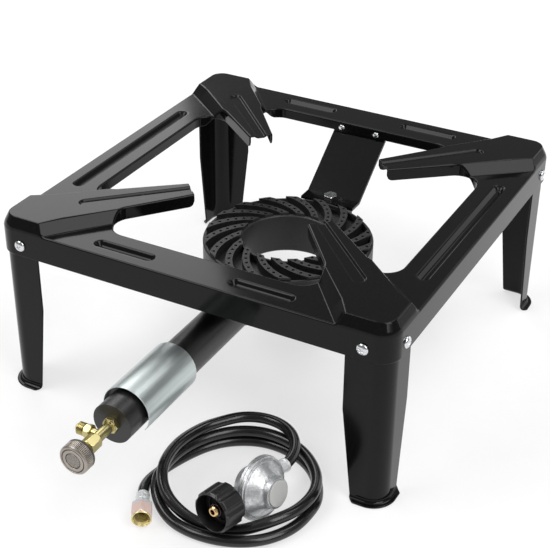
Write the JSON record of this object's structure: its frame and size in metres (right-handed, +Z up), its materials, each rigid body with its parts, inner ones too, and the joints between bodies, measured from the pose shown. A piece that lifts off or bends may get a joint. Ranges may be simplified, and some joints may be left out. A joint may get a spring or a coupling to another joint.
{
  "type": "propane burner stand",
  "caption": "Square pressed-steel burner stand with a cast ring burner, needle valve, sliding air shutter, and a coiled gas hose with regulator and tank nut.",
  "frame": {"origin": "centre of the bounding box of the stand, burner and valve, on the ground", "axes": "+Z up, -Y towards the valve knob at the end of the mixing tube, +X to the right seen from the knob"},
  "size_m": [0.407, 0.5696, 0.1875],
  "materials": {
    "enamel": "glossy black enamel",
    "cast_iron": "black painted casting",
    "galvanised": "brushed, zinc plated",
    "zinc_plate": "zinc plated",
    "brass": "machined",
    "copper_brass": "machined, warm tint",
    "knob_zinc": "satin cast, knurled",
    "cast_zinc": "bright die casting",
    "chrome": "bright plated",
    "cap_pale": "satin",
    "seal_white": "smooth",
    "black_plastic": "moulded, semi-gloss",
    "hose_rubber": "smooth, glossy"
  },
  "bodies": {
    "stand": {"top_frame": "enamel", "leg_front_left": "enamel", "leg_front_right": "enamel", "leg_rear_left": "enamel", "leg_rear_right": "enamel", "leg_screws": "zinc_plate", "leg_nuts": "zinc_plate", "burner_ring": "cast_iron", "burner_bracket_front": "enamel", "burner_bracket_rear": "enamel", "bracket_rivets": "zinc_plate", "burner_bolts": "zinc_plate", "burner_nut": "zinc_plate", "mixing_tube": "enamel", "gas_jet": "brass", "valve_lock_nut": "brass", "valve_body": "brass", "inlet_fitting": "brass", "valve_packing_nut": "brass", "valve_packing": "seal_white", "gas_hose": "hose_rubber", "hose_ferrule_regulator": "chrome", "hose_barb": "brass", "hose_ferrule_flare": "chrome", "hose_flare_stem": "brass", "regulator_body": "cast_zinc", "regulator_cover": "cast_zinc", "regulator_diaphragm": "hose_rubber", "diaphragm_plate": "zinc_plate", "regulator_spring": "zinc_plate", "spring_adjuster": "brass", "regulator_cap": "cap_pale", "regulator_lever": "zinc_plate", "lever_pin": "zinc_plate", "valve_seat_pad": "hose_rubber", "inlet_nipple": "brass", "nipple_seal": "hose_rubber", "retaining_collar": "chrome", "thermal_bushing": "black_plastic"},
    "air_shutter": {"air_shutter": "galvanised"},
    "valve_stem": {"valve_stem": "zinc_plate"},
    "valve_knob": {"valve_knob": "knob_zinc"},
    "tank_nut": {"tank_nut": "black_plastic"},
    "hose_swivel_nut": {"hose_swivel_nut": "copper_brass"}
  },
  "joints": [
    {"name": "air_shutter_slide", "type": "slide", "parent": "stand", "child": "air_shutter", "axis": [0, 1, 0], "range_m": [-0.015, 0.045]},
    {"name": "stem_travel", "type": "slide", "parent": "stand", "child": "valve_stem", "axis": [0, -1, 0], "range_m": [0, 0.00226]},
    {"name": "knob_turn", "type": "hinge", "parent": "valve_stem", "child": "valve_knob", "pos_m": [0, -0.27875, 0.096], "axis": [0, -1, 0], "range_deg": [0, 1080]},
    {"name": "tank_nut_spin", "type": "hinge", "parent": "stand", "child": "tank_nut", "pos_m": [0.09199, -0.21261, 0.03132], "axis": [0.1933, 0.9761, -0.0993], "continuous": true},
    {"name": "flare_nut_spin", "type": "hinge", "parent": "stand", "child": "hose_swivel_nut", "pos_m": [0.02271, -0.22665, 0.0099], "axis": [0.5105, -0.8599, 0], "continuous": true}
  ],
  "couplings": [
    {"joint": "stem_travel", "follows": "knob_turn", "m_per_rad": 0.00011937}
  ]
}
